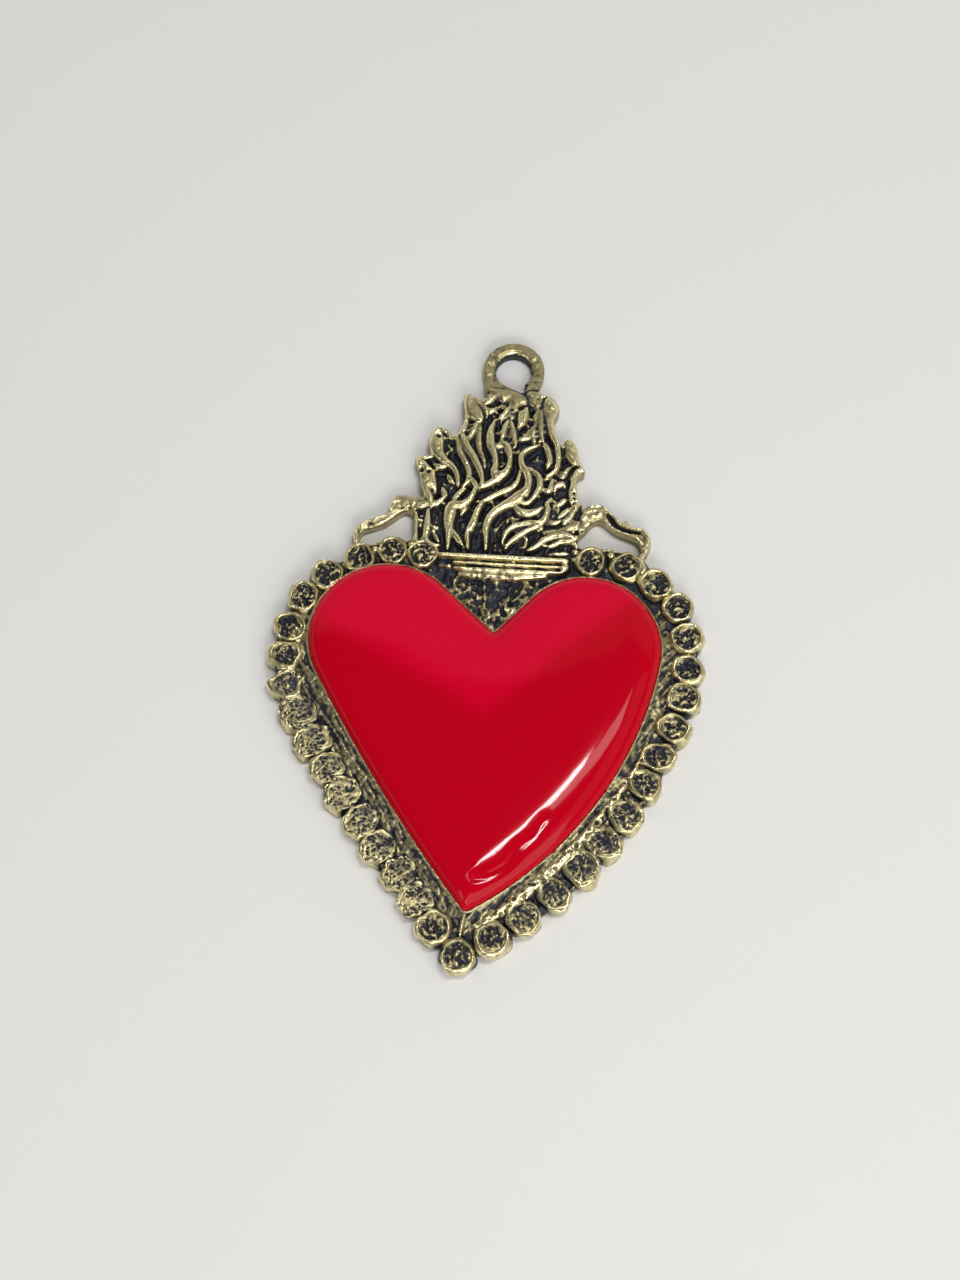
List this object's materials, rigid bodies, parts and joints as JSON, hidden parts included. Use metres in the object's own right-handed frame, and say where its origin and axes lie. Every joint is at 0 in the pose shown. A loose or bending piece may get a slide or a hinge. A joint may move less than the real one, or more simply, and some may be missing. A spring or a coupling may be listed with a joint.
{
  "type": "sacred heart pendant",
  "caption": "Flat cast pendant: a domed enamel heart in a beaded scalloped border, under a crown of flames with two ribbon loops and a round hanging ring.",
  "frame": {"origin": "middle of the hanging hole, on the flat back", "axes": "+Y up the pendant past the top of the ring, +X to the viewer's right when the face is seen, +Z out of the face along the hanging hole"},
  "size_m": [0.0377, 0.0579, 0.003],
  "materials": {
    "antique_gold": "antique gold plate, bright on the raised carving and near black in the recesses",
    "red_enamel": "poured gloss red enamel, domed"
  },
  "bodies": {
    "root": {"pendant_casting": "antique_gold", "enamel_heart": "red_enamel"}
  },
  "joints": []
}
